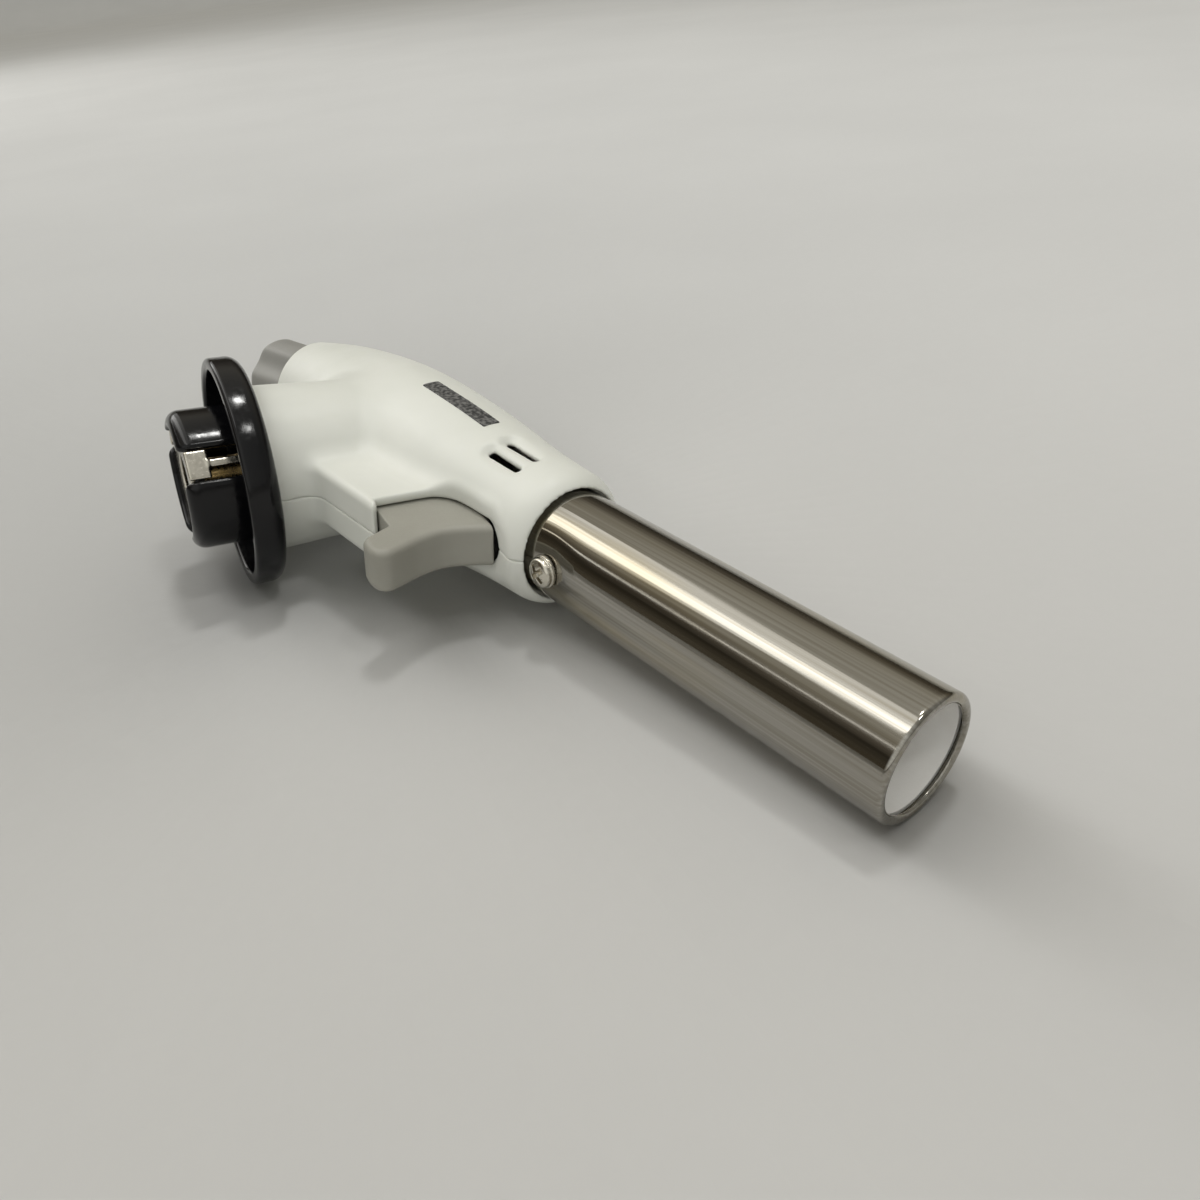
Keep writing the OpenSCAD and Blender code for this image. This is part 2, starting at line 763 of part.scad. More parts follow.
right_housing();
left_housing();
housing_screws();
rating_label();
base_flange();
connector_body();
bayonet_plate();
inlet_nipple();
inlet_seal();
inlet_filter();
connector_screws();
valve_body();
gland_nut();
stem_oring();
valve_stem();
control_knob();
knob_screw();
gas_pipe();
jet_holder();
gas_jet();
mixing_tube();
burner_mount();
burner_head();
burner_tube();
ceramic_liner();
tube_screw();
trigger();
piezo_case();
piezo_plunger();
piezo_spring();
piezo_hammer();
piezo_crystal();
piezo_terminal();
ignition_lead();
electrode_insulator();
electrode();
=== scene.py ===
"""Looks of a butane torch head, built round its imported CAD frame.

Sizes are in millimetres, and MM turns them into Blender's metres. Two lines in the parting plane
place most of the shapes: the nozzle axis, which the barrel and the burner lie on, and the stem
axis, which the knob turns about. A "field" gives the distance of points from a surface, negative
inside the solid, and solid_from_field() turns it into a mesh.
"""
import json
import math

import bmesh
import bpy
import numpy as np
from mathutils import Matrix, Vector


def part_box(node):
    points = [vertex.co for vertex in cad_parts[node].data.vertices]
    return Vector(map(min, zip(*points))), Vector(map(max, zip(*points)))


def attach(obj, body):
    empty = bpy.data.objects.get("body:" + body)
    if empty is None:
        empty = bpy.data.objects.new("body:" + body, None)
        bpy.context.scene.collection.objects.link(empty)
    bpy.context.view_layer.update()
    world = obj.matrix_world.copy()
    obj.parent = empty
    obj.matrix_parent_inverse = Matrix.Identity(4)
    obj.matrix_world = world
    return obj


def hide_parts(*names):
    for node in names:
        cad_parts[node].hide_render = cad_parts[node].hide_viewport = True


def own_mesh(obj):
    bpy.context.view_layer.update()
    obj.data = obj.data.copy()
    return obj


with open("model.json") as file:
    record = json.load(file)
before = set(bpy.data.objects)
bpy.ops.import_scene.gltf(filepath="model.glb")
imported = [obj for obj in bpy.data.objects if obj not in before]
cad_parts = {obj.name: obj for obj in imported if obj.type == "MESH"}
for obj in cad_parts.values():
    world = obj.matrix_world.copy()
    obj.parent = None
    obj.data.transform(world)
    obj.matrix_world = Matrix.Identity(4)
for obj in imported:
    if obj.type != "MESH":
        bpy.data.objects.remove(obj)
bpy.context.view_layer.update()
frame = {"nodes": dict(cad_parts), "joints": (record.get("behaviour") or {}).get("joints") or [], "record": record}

import openvdb
from mathutils import Matrix, Vector
from mathutils.bvhtree import BVHTree

MM = 0.001
RIM_DEPTH = 5.0          # how far the knob joint's point stands outside the housing's rear rim
FINISH_SUFFIX = "_finish"
MOUNTS = {m["name"]: m for m in frame["record"]["mounts"]}
JOINTS = {j["name"]: j for j in frame["joints"]}


# ---------------------------------------------------------------- lines that place the shapes

class Axis:
    """A line in the parting plane. A station runs along it, and an offset is square to it."""

    def __init__(self, origin, direction):
        self.origin = Vector(origin)
        self.direction = Vector(direction).normalized()
        self.across = Vector((self.direction.y, -self.direction.x, 0))

    def station(self, x, y):
        return (x - self.origin.x) * self.direction.x + (y - self.origin.y) * self.direction.y

    def offset(self, x, y):
        return (x - self.origin.x) * self.across.x + (y - self.origin.y) * self.across.y

    def point(self, station, offset=0.0):
        return self.origin + station * self.direction + offset * self.across

    def place(self):
        """Matrix in metres whose local Z is the line, and whose local X is the offset's side."""
        return upright(self.origin, self.direction, self.across)


def upright(origin, axis, side):
    """Matrix in metres with local Z along axis and local X along side."""
    columns = Matrix((side, axis.cross(side), axis)).transposed().to_4x4()
    return Matrix.Translation(origin * MM) @ columns


def nozzle_axis():
    """The burner's line, with station 0 where it crosses the cartridge axis."""
    mount = MOUNTS["burner_mouth"]
    direction = Vector(mount["axis"])
    point = Vector(mount["pos_m"]) / MM
    return Axis(point - direction * (point.y / direction.y), direction)


def stem_axis():
    """The knob's line, pointing in to the body, with station 0 on the housing's rear rim."""
    joint = JOINTS["knob_turn"]
    inward = -Vector(joint["axis"])
    return Axis(Vector(joint["pos_m"]) / MM + inward * RIM_DEPTH, inward)


NOZZLE = nozzle_axis()
STEM = stem_axis()
CARTRIDGE = upright(Vector((0, 0, 0)), Vector((1, 0, 0)), Vector((0, 0, -1)))

# ---------------------------------------------------------------- sizes

FLANGE_T = 6.5
FLANGE_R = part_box("base_flange")[1].z / MM
CUP_R = FLANGE_R - 2.5
CUP_FLOOR = 4.6
INLET_HOLE_R = 4.1       # hole for the inlet nipple, in the flange and the connector

WALL = 1.8
SEAM = 0.03              # gap between the housing's halves
SEAM_ROUND = 0.15
NECK_R = 17.7
NECK_TAPER = 1.7
# radius and station of points on the barrel's outline
BARREL_LINE = [(11.2, -50), (15.95, -27), (18.15, -3), (17.05, 22), (14.7, 43), (13.95, 54.3)]
BARREL_NOSE = 6.5
RIM_BORE = 10.8          # radius of the hole that the knob turns in

TUBE_R = 11.0
TUBE_GAP = 0.45              # room round the tube, outside its seat
TUBE_SEAT = (52.4, 57.8)     # stations where the seat in the housing starts and ends
TUBE_START = 53.0            # station of the tube's hidden end
MOUTH = 138.6                # station of its lip
TUBE_SCREW_STATION = 64.0

GUARD_HALF = 6.7
GUARD_TIP = (19.7, -38.8)
OPENING_X = (20.9, 38.9)     # sides of the gap that the trigger slides in
ROOF_Y = -36.9               # and its inner end
CAVITY_HALF = 4.65
TRIGGER_HALF = 4.4

CONNECTOR_R = 14.5
CONNECTOR_H = 9.9
CONNECTOR_FLOOR = 2.4        # the bottom of the room between the claws
CLAW_T = 3.0
CLAW_EDGE = 2.8
CLAW_GAP = 6.4
CLAW_TURNS = [math.radians(a) for a in (-5, 115, 235)]
LUG_PLATE = (-8.5, -7.7)     # front and back of the plate

KNOB_R = 10.0
KNOB_H = 15.4
KNOB_LOBES = 4
KNOB_VALLEY = 40         # turn of one valley in degrees, from the flange's side towards +Z
KNOB_SCREW_SEAT = -11.5

BARREL_SCREWS = [(8, -11.5), (30, -10.5), (-33, 9.3)]    # station, offset
NECK_SCREW = (17, 11)                                    # x, y
SCREW_SEAT_Z = -7
SCREW_HOLE_R = 3
BOSS_R = (2.7, 4.2)      # on the threaded side and on the side of the heads

LABEL_STATIONS = (10.0, 32.7)
LABEL_HALF = 2.0

HOUSING_VOXEL = 0.36


# ---------------------------------------------------------------- outlines

def smooth_line(points, steps):
    """Smooth curve through points, with a number of steps between each pair."""
    padded = [points[0]] + list(points) + [points[-1]]
    line = []
    for p0, p1, p2, p3 in zip(padded, padded[1:], padded[2:], padded[3:]):
        for k in range(steps):
            t = k / steps
            line.append(tuple(
                0.5 * (2 * b + (c - a) * t + (2 * a - 5 * b + 4 * c - d) * t * t
                       + (3 * b - a - 3 * c + d) * t ** 3)
                for a, b, c, d in zip(p0, p1, p2, p3)))
    return line + [tuple(points[-1])]


def arc(centre, radius, start, end, steps):
    """Points of an arc, with its angles in degrees."""
    angles = [math.radians(start + (end - start) * i / steps) for i in range(steps + 1)]
    return [(centre[0] + radius * math.cos(a), centre[1] + radius * math.sin(a)) for a in angles]


def guard_outline():
    return [(13.6, -13.5), GUARD_TIP, (OPENING_X[0], GUARD_TIP[1]), (OPENING_X[1] + 1, -52), (48, -48),
            (44.6, -6), (13.6, -6)]


def opening_outline():
    """The gap that the trigger slides in: flat roof, then a curve down to the barrel's front."""
    curve = [(29, ROOF_Y), (32.6, -37.3), (35.2, -39.4), (36.8, -43.2), (38.2, -48.6), (OPENING_X[1], -51.6)]
    return [(OPENING_X[0], -90), (OPENING_X[0], ROOF_Y)] + smooth_line(curve, 4) + [(OPENING_X[1], -90)]


def cavity_outline():
    return [(17.6, -12), (OPENING_X[0], -27), (OPENING_X[0], -90), (OPENING_X[1], -90), (OPENING_X[1], -50.5),
            (41, -50.5), (44, -8)]


def trigger_outline(spare):
    """Side of the trigger: the lobe, the finger curve and, grown by a spare width, the hidden sides."""
    running_gap = 0.15
    left = OPENING_X[0] + running_gap - spare
    right = OPENING_X[1] - running_gap + spare
    hidden = [(right, -38.4), (33.4, -34.2), (left, -34.2), (left, -44.4), (17.6 - spare / 2, -46.4)]
    lobe = [(15, -47.6), (14.9, -50.2), (15.6, -52.9), (17.7, -54.1), (20.4, -53.2), (24.6, -51.3),
            (29.2, -50.2), (33.6, -50.9), (right, -52.8 - 0.37 * spare)]
    return [(px, py + spare) for px, py in hidden] + smooth_line(lobe, 5)


# ---------------------------------------------------------------- fields

def blend(a, b, width):
    """Union of two solids, with a soft fillet where they meet."""
    h = np.maximum(width - np.abs(a - b), 0) / width
    return np.minimum(a, b) - h * h * width / 4


def carve(a, b, width):
    """Solid a with solid b taken away, and a rounded lip."""
    return -blend(-a, b, width)


def common(a, b, width):
    """What two solids share, with rounded edges."""
    return -blend(-a, -b, width)


def outline_distance(points, x, y):
    """Distance from a closed outline in the plane of X and Y."""
    nearest = np.float32(1e6)
    inside = np.zeros(np.broadcast(x, y).shape, bool)
    for (ax, ay), (bx, by) in zip(points, points[1:] + points[:1]):
        ex, ey = bx - ax, by - ay
        t = np.clip(((x - ax) * ex + (y - ay) * ey) / (ex * ex + ey * ey), 0, 1)
        nearest = np.minimum(nearest, np.hypot(x - ax - t * ex, y - ay - t * ey))
        if ey:
            inside ^= ((y < ay) != (y < by)) & (x < ax + (y - ay) * ex / ey)
    return np.where(inside, -nearest, nearest)


def rounded_corner(a, b, radius):
    """What two solids share, with a round edge of a true radius."""
    a = a + radius
    b = b + radius
    return np.minimum(np.maximum(a, b), 0) + np.hypot(np.maximum(a, 0), np.maximum(b, 0)) - radius


def prism(points, half, radius, x, y, z):
    """Outline drawn out to both sides of the parting plane, with round edges."""
    return rounded_corner(outline_distance(points, x, y), np.abs(z) - half, radius)


def rod(x, y, z, line, radius, start, end):
    """Cylinder along a line in the parting plane."""
    station = line.station(x, y)
    return np.maximum(np.hypot(line.offset(x, y), z) - radius, np.maximum(start - station, station - end))


def neck(x, y, z, inset):
    """Tapered cylinder from the flange to the barrel."""
    share = (x - FLANGE_T) / (NOZZLE.origin.x - FLANGE_T)
    return np.maximum(np.hypot(y, z) - (NECK_R - NECK_TAPER * share - inset), x - NOZZLE.origin.x)


def barrel(x, y, z, inset):
    """Turned body on the nozzle axis, with its round nose."""
    line = smooth_line(BARREL_LINE, 6)
    end_radius, end_station = line[-1]
    station = NOZZLE.station(x, y)
    radius = np.hypot(NOZZLE.offset(x, y), z)
    wall = np.interp(station, [p[1] for p in line], [p[0] for p in line]).astype(np.float32)
    nose = np.hypot(np.maximum(radius - end_radius + BARREL_NOSE, 0), station - end_station) - BARREL_NOSE
    return np.where(station < end_station, radius - wall, nose) + inset


def vent_slots(x, y, z):
    """Pairs of (slot, dip round it) on both sides of the barrel."""
    length, width, station, depth_r = 9.4, 1.4, 43.8, 9
    dip_r, dip_middle_r, dip_widening = 1.75, 15.6, 0.8
    along = np.maximum(np.abs(NOZZLE.station(x, y) - station) - (length - width) / 2, 0)
    across = NOZZLE.offset(x, y)
    for turn in (69.5, 88):
        a = math.radians(turn)
        sideways = across * math.sin(a) - np.abs(z) * math.cos(a)
        out = across * math.cos(a) + np.abs(z) * math.sin(a)
        slot = np.maximum(np.hypot(along, sideways) - width / 2, depth_r - out)
        dip = np.sqrt(along ** 2 + (sideways * dip_widening) ** 2 + (out - dip_middle_r) ** 2) - dip_r
        yield slot, dip


def screw_places():
    """Middles of the housing screws, as (x, y)."""
    return [NOZZLE.point(s, o).xy for s, o in BARREL_SCREWS] + [Vector(NECK_SCREW)]


def housing_skin(x, y, z):
    """Outside of the housing, without its openings."""
    body = blend(neck(x, y, z, 0), barrel(x, y, z, 0), 3.0)
    return blend(body, prism(guard_outline(), GUARD_HALF, 1.6, x, y, z), 3.2)


def housing_hollow(x, y, z):
    """Room inside the barrel, the neck and the guard."""
    hollow = np.maximum(barrel(x, y, z, WALL), NOZZLE.station(x, y) - TUBE_SEAT[0])
    hollow = np.minimum(hollow, neck(x, y, z, WALL))
    return np.minimum(hollow, prism(cavity_outline(), CAVITY_HALF, 0.3, x, y, z))


def with_bosses(body, skin, x, y, z):
    """The housing with a boss and a sunk hole at each housing screw."""
    for cx, cy in screw_places():
        radius = np.hypot(x - cx, y - cy)
        boss = radius - np.where(z > 0, *BOSS_R)
        body = np.minimum(body, common(boss, skin + WALL / 2, 0.3))
        body = carve(body, np.maximum(radius - SCREW_HOLE_R, z - SCREW_SEAT_Z), 0.5)
    return body


def housing(x, y, z):
    """Whole housing, before it is parted."""
    outside = 200            # far enough to cut clean through
    seat_gap = 0.05
    rim_bore_end = 5
    skin = housing_skin(x, y, z)
    for _, dip in vent_slots(x, y, z):
        skin = carve(skin, dip, 1.2)
    body = with_bosses(carve(skin, housing_hollow(x, y, z), 0.4), skin, x, y, z)
    for slot, _ in vent_slots(x, y, z):
        body = carve(body, slot, 0.5)
    body = carve(body, rod(x, y, z, NOZZLE, TUBE_R + seat_gap, TUBE_SEAT[0], outside), 0.3)
    body = carve(body, rod(x, y, z, NOZZLE, TUBE_R + TUBE_GAP, TUBE_SEAT[1], outside), 0.6)
    body = carve(body, rod(x, y, z, STEM, RIM_BORE, -outside, rim_bore_end), 0.6)
    body = carve(body, STEM.station(x, y), 1.4)
    body = carve(body, prism(opening_outline(), outside, 0.3, x, y, z), 0.9)
    return common(body, FLANGE_T - x, 0.5)


def right_half(x, y, z):
    return common(housing(x, y, z), SEAM / 2 - z, SEAM_ROUND)


def left_half(x, y, z):
    return common(housing(x, y, z), z + SEAM / 2, SEAM_ROUND)


def trigger(x, y, z):
    """Button with a round front, and crisp edges where it runs along the guard."""
    wall = 1.1
    front = prism(trigger_outline(2), TRIGGER_HALF, 1.5, x, y, z)
    body = common(front, outline_distance(trigger_outline(0), x, y), 0.3)
    stop = [(37.9, -46.5), (40.4, -46.5), (40.4, -43), (37.9, -41)]    # keeps the button in the guard
    body = np.minimum(body, prism(stop, TRIGGER_HALF, 0.4, x, y, z))
    room = [(22.2, -20), (22.2, -48), (24, -48.2), (33.5, -48.2), (37.4, -50.2), (37.4, -20)]
    return carve(body, prism(room, TRIGGER_HALF - wall, 0.5, x, y, z), 0.3)


def knob(x, y, z):
    """Grip with a few scallops, about the stem axis; it stands out towards negative stations."""
    station = STEM.station(x, y)
    side = STEM.offset(x, y)
    radius = np.hypot(side, z)
    edge, skirt_end, wall, hub_r = 2.6, 2.5, 2.2, 4.2
    scallop_r, scallop_depth, scallop_end = 5.0, 1.35, -0.6
    hollow_floor, screw_well_r, stem_bore_r, stem_bore_floor = -9, 2.6, 2.05, -10.5
    body = rounded_corner(radius - KNOB_R, -KNOB_H - station, edge)
    body = np.maximum(body, station - skirt_end)
    middle = KNOB_R + scallop_r - scallop_depth
    for i in range(KNOB_LOBES):
        a = math.radians(KNOB_VALLEY + i * 360 / KNOB_LOBES)
        scallop = np.hypot(side - middle * math.cos(a), z - middle * math.sin(a)) - scallop_r
        body = carve(body, np.maximum(scallop, station - scallop_end), 1.6)
    hollow = np.maximum(np.maximum(radius - KNOB_R + wall, hub_r - radius), hollow_floor - station)
    body = carve(body, hollow, 0.4)
    body = carve(body, np.maximum(radius - screw_well_r, station - KNOB_SCREW_SEAT), 0.6)
    return carve(body, np.maximum(radius - stem_bore_r, stem_bore_floor - station), 0.1)


def connector(x, y, z):
    """Three claws on a floor, round the cartridge axis."""
    gap_depth = 2            # how far a gap cuts in beyond the claws' inside
    radius = np.hypot(y, z)
    body = rounded_corner(radius - CONNECTOR_R, -CONNECTOR_H - x, CLAW_EDGE)
    body = np.maximum(body, x - CUP_FLOOR)
    room = np.maximum(radius - CONNECTOR_R + CLAW_T, x - CONNECTOR_FLOOR)
    body = carve(body, room, 0.8)
    for turn in CLAW_TURNS:
        out = y * math.sin(turn) - z * math.cos(turn)
        sideways = y * math.cos(turn) + z * math.sin(turn)
        gap = np.maximum(np.abs(sideways) - CLAW_GAP / 2, CONNECTOR_R - CLAW_T - gap_depth - out)
        body = carve(body, np.maximum(gap, x - CONNECTOR_FLOOR), 1.3)
    return carve(body, radius - INLET_HOLE_R, 0.3)


def block(x, y, z, low, high, radius):
    """Box with round edges, given by two corners."""
    parts = [np.maximum(a - v, v - b) + radius for v, a, b in zip((x, y, z), low, high)]
    outside = np.sqrt(sum(np.maximum(p, 0) ** 2 for p in parts))
    return outside + np.minimum(np.maximum(np.maximum(parts[0], parts[1]), parts[2]), 0) - radius


def bayonet(x, y, z):
    """Plate with three T-shaped lugs."""
    front, back = LUG_PLATE
    hole_r = 5.4
    arm_half, head_half, leg_half = 1.6, 2.9, 0.75
    arm_inside, arm_outside = 10.1, 13.1
    lug_inside, lug_outside = CONNECTOR_R - 1.5, CONNECTOR_R - 0.5
    head_back, leg_front = -4.5, -5
    radius = np.hypot(y, z)
    plate = np.maximum(radius - CONNECTOR_R + CLAW_T + 0.1, np.maximum(front - x, x - back))
    body = carve(plate, radius - hole_r, 0.3)
    for turn in CLAW_TURNS:
        out = y * math.sin(turn) - z * math.cos(turn)
        side = y * math.cos(turn) + z * math.sin(turn)
        arm = block(x, side, out, (front, -arm_half, arm_inside), (back, arm_half, arm_outside), 0.2)
        head = block(x, side, out, (front - 0.4, -head_half, lug_inside - 0.1),
                     (head_back, head_half, lug_outside), 0.45)
        leg = block(x, side, out, (leg_front, -leg_half, lug_inside),
                    (CONNECTOR_FLOOR, leg_half, lug_outside), 0.3)
        body = blend(body, np.minimum(arm, blend(head, leg, 0.5)), 0.3)
    return body


def screw_head(head_r, head_h, washer_r=0.0):
    """Field of a domed head with a cross recess; local Z is the screw's axis, and 0 is its seat."""
    dome_r = head_r * 2
    wing_half, wing_length = head_r * 0.16, head_r * 0.66
    recess_depth, recess_slope = head_h * 1.05, 0.35
    washer_half_t, shank_r, shank_length = 0.3, 1.2, 4

    def field(x, y, z):
        radius = np.hypot(x, y)
        dome = np.sqrt(x * x + y * y + (z - head_h + dome_r) ** 2) - dome_r
        body = np.maximum(common(radius - head_r, dome, 0.5), -z)
        for along, across in ((x + y, x - y), (x - y, x + y)):
            depth = recess_depth - np.abs(along) * recess_slope
            wing = np.maximum(np.abs(across) * 0.707 - wing_half, np.abs(along) * 0.707 - wing_length)
            body = carve(body, np.maximum(wing, head_h - depth - z), 0.15)
        if washer_r:
            washer = rounded_corner(radius - washer_r, np.abs(z - washer_half_t) - washer_half_t, 0.15)
            body = np.minimum(body, washer)
        shank = np.maximum(radius - shank_r, np.maximum(-shank_length - z, z - 0.5))
        return np.minimum(body, shank)
    return field


def label(x, y, z):
    """Thin plate with a raised rim, that follows the top of the housing."""
    rim_width, rim_height, film_height, depth = 0.35, 0.22, 0.1, 0.4
    skin = housing_skin(x, y, z)
    station = NOZZLE.station(x, y)
    middle = sum(LABEL_STATIONS) / 2
    along = np.abs(station - middle) - (LABEL_STATIONS[1] - LABEL_STATIONS[0]) / 2
    across = np.abs(NOZZLE.offset(x, y)) - LABEL_HALF
    height = np.where(np.maximum(along, across) < -rim_width, film_height, rim_height)
    return common(rounded_corner(along, across, 0.3), np.maximum(skin - height, -skin - depth), 0.1)


# ---------------------------------------------------------------- meshes

def new_object(name, points, faces):
    mesh = bpy.data.meshes.new(name)
    mesh.from_pydata(points, [], faces)
    mesh.validate()
    mesh.shade_smooth()
    piece = bpy.data.objects.new(name, mesh)
    bpy.context.scene.collection.objects.link(piece)
    return piece


def solid_from_field(name, field, low, high, voxel, place=None, relax=2):
    """Mesh of a field between two corners in millimetres, then moved by the matrix place."""
    axes = [np.arange(a, b + voxel, voxel, dtype=np.float32) for a, b in zip(low, high)]
    x, y, z = np.meshgrid(*axes, indexing="ij", sparse=True)
    shape = tuple(len(a) for a in axes)
    values = np.array(np.broadcast_to(field(x, y, z), shape), np.float32)
    grid = openvdb.FloatGrid(background=1.0)
    grid.copyFromArray(values)
    points, _, quads = grid.convertToPolygons(isovalue=0.0, adaptivity=0.0)
    points = (points * voxel + np.array(low)) * MM
    piece = new_object(name, points.tolist(), quads.tolist())
    if place is not None:
        piece.data.transform(place)
    smooth = piece.modifiers.new("relax", "SMOOTH")
    smooth.factor = 0.5
    smooth.iterations = relax
    apply_modifiers(piece)
    return piece


def apply_modifiers(piece):
    graph = bpy.context.evaluated_depsgraph_get()
    mesh = bpy.data.meshes.new_from_object(piece.evaluated_get(graph))
    piece.modifiers.clear()
    piece.data = mesh
    mesh.shade_smooth()


def lathe(name, profile, place, steps):
    """Closed profile of (radius, height) turned round the local Z axis."""
    points = []
    for i in range(steps):
        a = 2 * math.pi * i / steps
        points += [(r * math.cos(a) * MM, r * math.sin(a) * MM, h * MM) for r, h in profile]
    n = len(profile)
    faces = []
    for i in range(steps):
        j = (i + 1) % steps
        faces += [(i * n + k, j * n + k, j * n + (k + 1) % n, i * n + (k + 1) % n) for k in range(n)]
    piece = new_object(name, points, faces)
    piece.data.transform(place)
    face_outwards(piece)
    return piece


def face_outwards(piece):
    shape = bmesh.new()
    shape.from_mesh(piece.data)
    bmesh.ops.recalc_face_normals(shape, faces=shape.faces)
    shape.to_mesh(piece.data)
    shape.free()


def keep(piece, body, slot, node):
    """The piece stands for a CAD node, rides on a body and takes a slot's finish."""
    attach(piece, body)
    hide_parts(node)
    piece.data.materials.clear()
    piece.data.materials.append(FINISHES[slot])


def corners(node, margin=1.0):
    """Corners of a CAD node's box in millimetres, with a margin."""
    low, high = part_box(node)
    return [v / MM - margin for v in low], [v / MM + margin for v in high]


# ---------------------------------------------------------------- materials

def texture_space(tree, size, turn=0.0):
    """Object coordinates divided by a feature size in millimetres, in axes turned about Z."""
    coordinates = tree.nodes.new("ShaderNodeTexCoord")
    mapping = tree.nodes.new("ShaderNodeMapping")
    mapping.vector_type = "TEXTURE"
    mapping.inputs["Rotation"].default_value = (0, 0, turn)
    mapping.inputs["Scale"].default_value = [s * MM for s in size]
    tree.links.new(coordinates.outputs["Object"], mapping.inputs["Vector"])
    return mapping.outputs["Vector"]


def noise(tree, size, turn=0.0, detail=4.0):
    """Noise from 0 to 1 with features of a size in millimetres."""
    texture = tree.nodes.new("ShaderNodeTexNoise")
    texture.inputs["Scale"].default_value = 1.0
    texture.inputs["Detail"].default_value = detail
    tree.links.new(texture_space(tree, size, turn), texture.inputs["Vector"])
    return texture.outputs["Fac"]


def spread(tree, value, low, high, reach=(0.35, 0.65)):
    """Maps a value over its reach, by default the middle of a noise's range, to low to high."""
    node = tree.nodes.new("ShaderNodeMapRange")
    node.inputs["From Min"].default_value = reach[0]
    node.inputs["From Max"].default_value = reach[1]
    node.inputs["To Min"].default_value = low
    node.inputs["To Max"].default_value = high
    tree.links.new(value, node.inputs["Value"])
    return node.outputs["Result"]


def tones(tree, value, stops):
    """Colours along a value, as (place, colour) stops."""
    node = tree.nodes.new("ShaderNodeValToRGB")
    ramp = node.color_ramp
    while len(ramp.elements) < len(stops):
        ramp.elements.new(0.5)
    for element, (place, colour) in zip(ramp.elements, stops):
        element.position = place
        element.color = (*colour, 1)
    tree.links.new(value, node.inputs["Fac"])
    return node.outputs["Color"]


def mixed(tree, share, a, b):
    """Colour between a and b by a share. Each is a constant or a socket."""
    node = tree.nodes.new("ShaderNodeMix")
    node.data_type = "RGBA"
    tree.links.new(share, node.inputs[0])
    for socket, colour in ((node.inputs[6], a), (node.inputs[7], b)):
        if isinstance(colour, tuple):
            socket.default_value = (*colour, 1)
        else:
            tree.links.new(colour, socket)
    return node.outputs[2]


def bumped(tree, shader, layers):
    """Stacks bumps on the shader's normal, as (height, depth in millimetres)."""
    normal = None
    for height, depth in layers:
        bump = tree.nodes.new("ShaderNodeBump")
        bump.inputs["Distance"].default_value = depth * MM
        tree.links.new(height, bump.inputs["Height"])
        if normal is not None:
            tree.links.new(normal, bump.inputs["Normal"])
        normal = bump.outputs["Normal"]
    tree.links.new(normal, shader.inputs["Normal"])


def start_material(name, **sockets):
    material = bpy.data.materials.new(name + FINISH_SUFFIX)
    material.use_nodes = True
    shader = material.node_tree.nodes["Principled BSDF"]
    for socket, value in sockets.items():
        shader.inputs[socket.replace("_", " ")].default_value = value
    return material, material.node_tree, shader


def surface(name, dark, light, rough, patch, grain, grain_depth, **sockets):
    """Material whose colour drifts in patches, over a fine grain of gloss and height."""
    material, tree, shader = start_material(name, **sockets)
    drift = noise(tree, (patch, patch, patch))
    fine = (grain, grain, grain)
    tree.links.new(tones(tree, drift, [(0.3, dark), (0.7, light)]), shader.inputs["Base Color"])
    tree.links.new(spread(tree, noise(tree, fine), *rough), shader.inputs["Roughness"])
    bumped(tree, shader, [(noise(tree, fine, detail=2.0), grain_depth)])
    return material


def housing_plastic():
    """Off-white moulded plastic: soft sheen, fine spark-eroded grain and a slow drift in tone."""
    material, tree, shader = start_material("housing_white")
    shader.inputs["Subsurface Weight"].default_value = 0.05
    shader.inputs["Subsurface Radius"].default_value = (0.002, 0.002, 0.0015)
    drift = noise(tree, (22, 22, 22))
    tree.links.new(tones(tree, drift, [(0.3, (0.70, 0.715, 0.665)), (0.7, (0.76, 0.77, 0.725))]),
                   shader.inputs["Base Color"])
    tree.links.new(spread(tree, noise(tree, (3, 3, 3)), 0.36, 0.5), shader.inputs["Roughness"])
    bumped(tree, shader, [(noise(tree, (9, 9, 9), detail=1.0), 0.04),
                          (noise(tree, (0.22, 0.22, 0.22)), 0.012)])
    return material


def polished_nickel():
    """Plated tube: mirror gloss with drawing marks along it, and faint straw-coloured heat stains."""
    material, tree, shader = start_material("burner_nickel", Metallic=1.0)
    lean = math.radians(12)            # the burner's turn from the Y axis
    marks = noise(tree, (0.5, 60, 0.5), lean, 6.0)
    plating = tones(tree, marks, [(0.32, (0.29, 0.27, 0.23)), (0.5, (0.35, 0.335, 0.30)),
                                  (0.68, (0.42, 0.405, 0.37))])
    stain = spread(tree, noise(tree, (7, 60, 7), lean, 2.0), 0.0, 0.55, (0.52, 0.7))
    tree.links.new(mixed(tree, stain, plating, (0.40, 0.345, 0.225)), shader.inputs["Base Color"])
    tree.links.new(spread(tree, noise(tree, (1.4, 30, 1.4), lean), 0.05, 0.14), shader.inputs["Roughness"])
    bumped(tree, shader, [(noise(tree, (0.8, 90, 0.8), lean, 3.0), 0.004),
                          (noise(tree, (10, 40, 10), lean, 1.0), 0.05)])
    return material


def label_film():
    """Dark printed film with a speckle and no text."""
    material, tree, shader = start_material("label_grey", Roughness=0.42)
    speckle = noise(tree, (0.8, 0.8, 0.8))
    tree.links.new(tones(tree, speckle, [(0.42, (0.02, 0.021, 0.023)), (0.6, (0.17, 0.17, 0.168))]),
                   shader.inputs["Base Color"])
    bumped(tree, shader, [(speckle, 0.01)])
    return material


